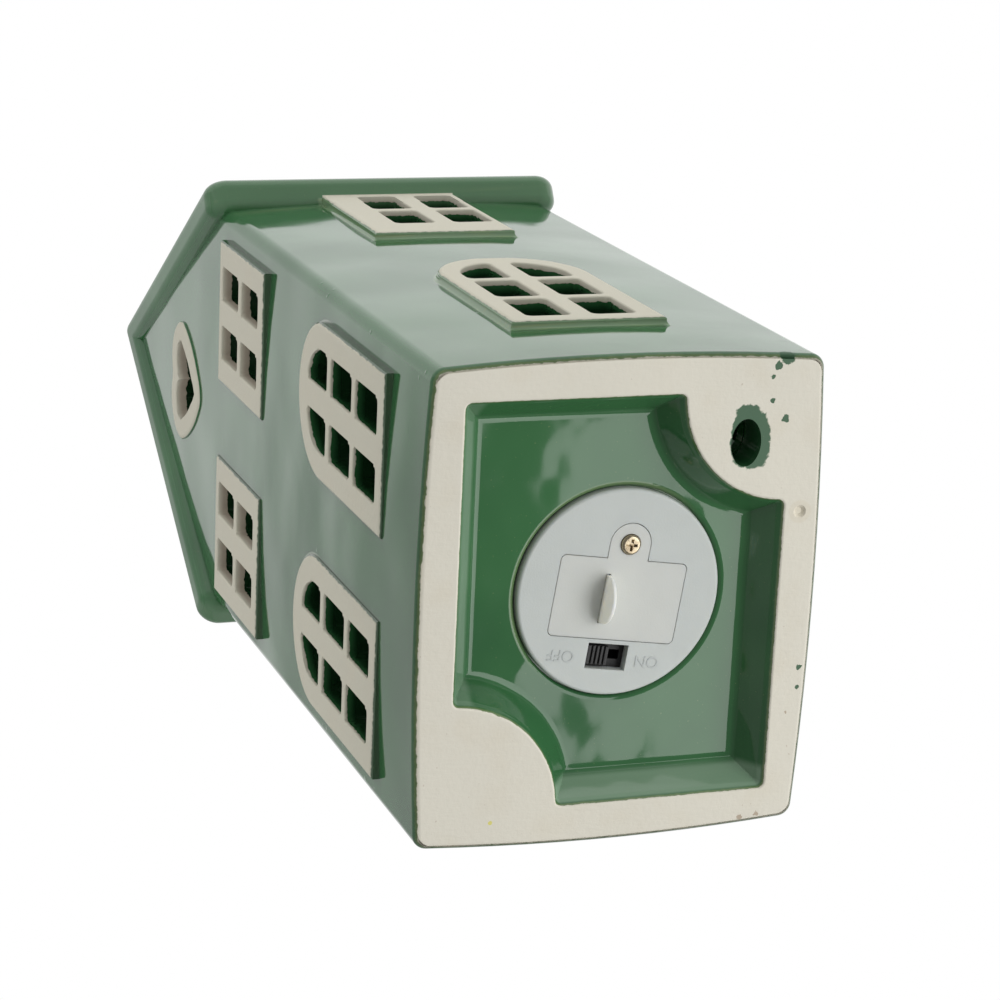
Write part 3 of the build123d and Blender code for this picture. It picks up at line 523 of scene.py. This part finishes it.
metalLook = {
    "yellow_brass": ("yellowBrass", rgb(0.52, 0.44, 0.31), rgb(0.34, 0.27, 0.18), 0.24),
    "zinc_steel": ("zincSteel", rgb(0.62, 0.62, 0.61), rgb(0.52, 0.52, 0.52), 0.32),
    "cell_steel": ("cellSteel", rgb(0.70, 0.70, 0.68), rgb(0.60, 0.60, 0.59), 0.2, (1, 0.2, 1)),
}
finishes = {
    "green_glaze": makeCeramic(clayLook),
    "lamp_resin": makeResin(lampLook),
    "resistor_coat": makeResistorCoat(resistorLook),
    "board_laminate": makeBoard(rgb(0.40, 0.31, 0.13), rgb(0.50, 0.40, 0.19)),
}
finishes["bare_clay"] = finishes["green_glaze"]   # the foot rim is part of the same casting
for slotName, plastic in plasticLook.items():
    finishes[slotName] = makePlastic(*plastic)
for slotName, metal in metalLook.items():
    finishes[slotName] = makeMetal(*metal)
print("finishes:", len(finishes))


# each CAD piece is shown by a merged copy with soft edges; widths and places are in millimetres
slotOf = {entry["node"]: entry["material_slot"] for entry in frame["record"]["subparts"]}
bodyOf = {node: body for body, members in frame["record"]["behaviour"]["bodies"].items() for node in members}
edgeWork = {
    "creaseAngle": radians(32),
    "mergeGap": 0.002,
    "softened": {
        "battery_pull_tab": 0.12, "switch_slider": 0.08, "switch_body": 0.1,
        "circuit_board": 0.08, "light_cap": 0.15,
    },
    "plateFaces": {   # axis and place of the window faces
        "front_gable": (1, 39.9), "back_gable": (1, 39.9),
        "right_wall": (0, 48.2), "left_wall": (0, 48.2),
    },
    "plateWidth": 0.4,
    "plateFoot": 0.8,
    "footZone": (45.6, 47.3),
}
# bowed outer walls: half sizes at the corners, and how far each bulges
bowLook = {
    "half": (45.2, 37.8),
    "bulge": 1.5,
    "cornerRun": 3.0,
    "nodes": ("base_rim", "base_floor", "front_gable", "back_gable", "right_wall", "left_wall"),
}


def bowNormal(spot):
    half, bulge = bowLook["half"], bowLook["bulge"]
    for along, across in ((0, 1), (1, 0)):
        run, out = spot[along] * 1000, spot[across] * 1000
        radius = (half[along] ** 2 + bulge ** 2) / (2 * bulge)
        if abs(run) < half[along] - bowLook["cornerRun"]:
            arc = half[across] + bulge - radius + sqrt(radius ** 2 - run ** 2)
            if abs(abs(out) - arc) < 0.01:
                normal = Vector()
                normal[along] = run / radius
                normal[across] = copysign(sqrt(1 - normal[along] ** 2), out)
                return normal
    return None


# the bowed faces shade as true curves, across the borders of the pieces too
def setBowNormals(piece):
    mesh = piece.data
    settled = piece.evaluated_get(bpy.context.evaluated_depsgraph_get()).data
    normals = [corner.vector.copy() for corner in settled.corner_normals]
    for face in mesh.polygons:
        for corner in face.loop_indices:
            exact = bowNormal(mesh.vertices[mesh.loops[corner].vertex_index].co)
            if exact and exact.dot(face.normal) > 0.995:
                normals[corner] = exact
    piece.modifiers.clear()
    mesh.normals_split_custom_set(normals)


# inner corners where a side plate stands on its wall
def plateFoot(work):
    low, high = (edge / 1000 for edge in edgeWork["footZone"])

    def onWall(vert):
        return low < abs(vert.co.x) < high

    return [
        edge for edge in work.edges
        if len(edge.link_faces) == 2 and not edge.is_convex and edge.calc_face_angle(0) > radians(50)
        and onWall(edge.verts[0]) and onWall(edge.verts[1])
    ]


# edges of the window faces and their panes, without the cut along the roof
def plateEdges(work, axis, place):
    def onFace(vert):
        return abs(abs(vert.co[axis]) * 1000 - place) < 0.02

    found = []
    for edge in work.edges:
        if len(edge.link_faces) == 2 and onFace(edge.verts[0]) and onFace(edge.verts[1]):
            cut = any(abs(f.normal.x) > 0.7 and 0.4 < abs(f.normal.z) < 0.7 for f in edge.link_faces)
            if edge.calc_face_angle(0) > radians(30) and not cut:
                found.append(edge)
    return found


def sharpEdges(work):
    return [e for e in work.edges if len(e.link_faces) == 2 and e.calc_face_angle(0) > radians(40)]


def bevelEdges(work, edges, width, segments, clamped=False):
    bmesh.ops.bevel(
        work, geom=edges, offset=width / 1000, affect="EDGES",
        segments=segments, profile=0.5, material=-1, clamp_overlap=clamped,
    )


def mergeFlat(work, angle):
    bmesh.ops.dissolve_limit(work, angle_limit=radians(angle), verts=work.verts, edges=work.edges)


def finishPiece(piece, body, slotName, standsFor=None):
    scene.collection.objects.link(piece)
    piece.data.materials.append(finishes[slotName])
    if standsFor:
        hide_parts(standsFor)
    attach(piece, body)
    return piece


def copyNode(nodeName):
    work = bmesh.new()
    work.from_mesh(frame["nodes"][nodeName].data)
    bmesh.ops.remove_doubles(work, verts=work.verts, dist=edgeWork["mergeGap"] / 1000)
    if nodeName in edgeWork["softened"]:
        mergeFlat(work, 0.6)
        bevelEdges(work, sharpEdges(work), edgeWork["softened"][nodeName], 2, clamped=True)
    if nodeName in edgeWork["plateFaces"]:
        mergeFlat(work, 0.1)
        bevelEdges(work, plateEdges(work, *edgeWork["plateFaces"][nodeName]), edgeWork["plateWidth"], 3)
        if nodeName.endswith("_wall"):
            bevelEdges(work, plateFoot(work), edgeWork["plateFoot"], 3)
    mesh = bpy.data.meshes.new(nodeName + "Shown")
    work.to_mesh(mesh)
    work.free()
    if mesh.has_custom_normals:
        mesh.attributes.remove(mesh.attributes["custom_normal"])
    mesh.shade_smooth()
    mesh.set_sharp_from_angle(angle=edgeWork["creaseAngle"])
    piece = bpy.data.objects.new(nodeName + "Shown", mesh)
    finishPiece(piece, bodyOf[nodeName], slotOf[nodeName], nodeName)
    settle = piece.modifiers.new("evenNormals", "WEIGHTED_NORMAL")
    settle.keep_sharp = True
    if nodeName in bowLook["nodes"]:
        setBowNormals(piece)
    return piece


for nodeName in frame["nodes"]:
    copyNode(nodeName)
print("pieces copied")


# raised switch words on the face of the light unit, in millimetres
switchWords = {
    "turn": radians(8.0),
    "centre": (0.0, 2.0, 5.9),
    "capHeight": 2.2,
    "proud": 0.06,
    "edge": 0.02,
    "baseline": -11.9,
    "words": (("ON", 8.2), ("OFF", -9.2)),   # word and its middle along the switch
}


def raisedWord(word, middle, look):
    across = Vector((cos(look["turn"]), sin(look["turn"]), 0))
    along = Vector((-sin(look["turn"]), cos(look["turn"]), 0))
    curve = bpy.data.curves.new("word", "FONT")
    curve.body = word
    curve.align_x = "CENTER"
    curve.size = look["capHeight"] / 0.7   # capitals are 0.7 of the type size
    curve.extrude = look["proud"]
    curve.bevel_depth = look["edge"]
    holder = bpy.data.objects.new("word", curve)
    scene.collection.objects.link(holder)
    mesh = bpy.data.meshes.new_from_object(holder.evaluated_get(bpy.context.evaluated_depsgraph_get()))
    bpy.data.objects.remove(holder)
    origin = Vector(look["centre"]) + across * look["baseline"] + along * middle
    turned = Matrix((-along, -across, Vector((0, 0, -1)))).transposed().to_4x4()
    mesh.transform(Matrix.Scale(0.001, 4) @ Matrix.Translation(origin) @ turned)
    mesh.materials.clear()
    mesh.shade_smooth()
    mesh.set_sharp_from_angle(angle=radians(35))
    piece = bpy.data.objects.new("raised" + word.title(), mesh)
    return finishPiece(piece, "light_unit", "white_plastic")


for word, middle in switchWords["words"]:
    raisedWord(word, middle, switchWords)
print("switch words raised")


# camera at the photograph's place, below the foot
cameraLook = {
    "place": (0.165656, -0.198030, -0.473802),
    "turn": (163.0727, 19.3650, 87.2626),
    "lens": 106.153,
    "sensor": 36.0,
}
cameraData = bpy.data.cameras.new("camera")
cameraData.lens = cameraLook["lens"]
cameraData.sensor_width = cameraLook["sensor"]
cameraData.clip_start = 0.01
camera = bpy.data.objects.new("camera", cameraData)
camera.location = cameraLook["place"]
camera.rotation_euler = Euler([radians(angle) for angle in cameraLook["turn"]])
scene.collection.objects.link(camera)
scene.camera = camera
print("camera placed")


# studio: white sky, brighter from one side, and a level panel below the foot;
# the pale floor shows only from above
studio = {
    "horizon": (-0.35, 0.1),
    "skyBase": 0.84,      # light from above, and how much more comes from one side
    "skySide": 0.30,
    "lowSky": 0.39,       # light from below
    "lowSide": 0.30,
    "leastGlow": 0.15,
    "sheenBase": 0.56,    # the same sky as the glaze reflects it, in two steps round to the bright side
    "sheenSteps": ((-0.60, -0.48, 0.38), (0.0, 0.6, 0.20)),
    "lowSheen": 0.24,
    "panelPlace": (-0.20, 0.80, -0.80),
    "panelSize": (1.6, 0.99),
    "panelPower": 12.8,
    "floorColour": rgb(0.90, 0.90, 0.90),
    "floorReach": 3.0,
    "footHole": 0.980,    # the house's outline drawn in under its rounded foot edge
    "rimInside": (0.042, 0.0345),
}


def makeSky(look):
    world = bpy.data.worlds.new("sky")
    scene.world = world
    s = Shade(world)
    way = s.node("ShaderNodeTexCoord", out="Generated")
    x, y, z = (s.axis(way, name) for name in "XYZ")
    high = z.ease(*look["horizon"])
    low = 1 - high
    side = x + y
    glow = (look["skyBase"] + side * look["skySide"]) * high + (look["lowSky"] + side * look["lowSide"]) * low
    sheen = look["sheenBase"]
    for start, end, more in look["sheenSteps"]:
        sheen = sheen + side.ease(start, end) * more
    sheen = sheen * high + low * look["lowSheen"]
    rays = ("Is Camera Ray", "Is Glossy Ray", "Is Transmission Ray")
    seen, glossy, through = (s.node("ShaderNodeLightPath", out=ray) for ray in rays)
    paper = rgb(1, 1, 1)
    lit = s.node("ShaderNodeBackground", None, {"Color": paper, "Strength": glow.most(look["leastGlow"])})
    white = s.node("ShaderNodeBackground", None, {"Color": paper, "Strength": 1 + glossy * (sheen - 1)})
    both = s.node("ShaderNodeMixShader", None, {0: seen.most(glossy).most(through), 1: lit, 2: white})
    s.node("ShaderNodeOutputWorld", None, {"Surface": both})


# outline of the house just above its rounded foot edge, in order round it
def footOutline(look):
    rim = [vert.co for vert in frame["nodes"]["base_rim"].data.vertices]
    top = max(spot.z for spot in rim) - edgeWork["mergeGap"] / 1000
    wide, deep = look["rimInside"]
    outer = [spot for spot in rim if spot.z > top and (abs(spot.x) > wide or abs(spot.y) > deep)]
    spots = {(round(spot.x, 6), round(spot.y, 6)) for spot in outer}
    return sorted(spots, key=lambda spot: atan2(spot[1], spot[0]))


def makeFloor(look):
    work = bmesh.new()
    ring = [work.verts.new((x * look["footHole"], y * look["footHole"], 0)) for x, y in footOutline(look)]
    for before, after in zip(ring, ring[1:] + ring[:1]):
        work.edges.new((before, after))
    bmesh.ops.create_grid(work, x_segments=1, y_segments=1, size=look["floorReach"])
    bmesh.ops.delete(work, geom=list(work.faces), context="FACES_ONLY")
    bmesh.ops.bridge_loops(work, edges=work.edges)
    bmesh.ops.recalc_face_normals(work, faces=work.faces)
    if work.faces[:][0].normal.z < 0:
        bmesh.ops.reverse_faces(work, faces=work.faces)
    mesh = bpy.data.meshes.new("floor")
    work.to_mesh(mesh)
    work.free()
    material, s = newMaterial("paleFloor")
    pale = s.node("ShaderNodeBsdfDiffuse", None, {"Color": look["floorColour"]})
    clear = s.node("ShaderNodeBsdfTransparent")
    under = s.node("ShaderNodeNewGeometry", out="Backfacing")
    both = s.node("ShaderNodeMixShader", None, {0: under, 1: pale, 2: clear})
    s.node("ShaderNodeOutputMaterial", None, {"Surface": both})
    mesh.materials.append(material)
    floor = bpy.data.objects.new("floor", mesh)
    scene.collection.objects.link(floor)


def makePanel(look):
    data = bpy.data.lights.new("footPanel", "AREA")
    data.shape = "RECTANGLE"
    data.size, data.size_y = look["panelSize"]
    data.energy = look["panelPower"]
    panel = bpy.data.objects.new("footPanel", data)
    panel.location = look["panelPlace"]
    panel.rotation_euler = (pi, 0, 0)   # shines up
    scene.collection.objects.link(panel)


makeSky(studio)
makeFloor(studio)
makePanel(studio)
print("studio ready")
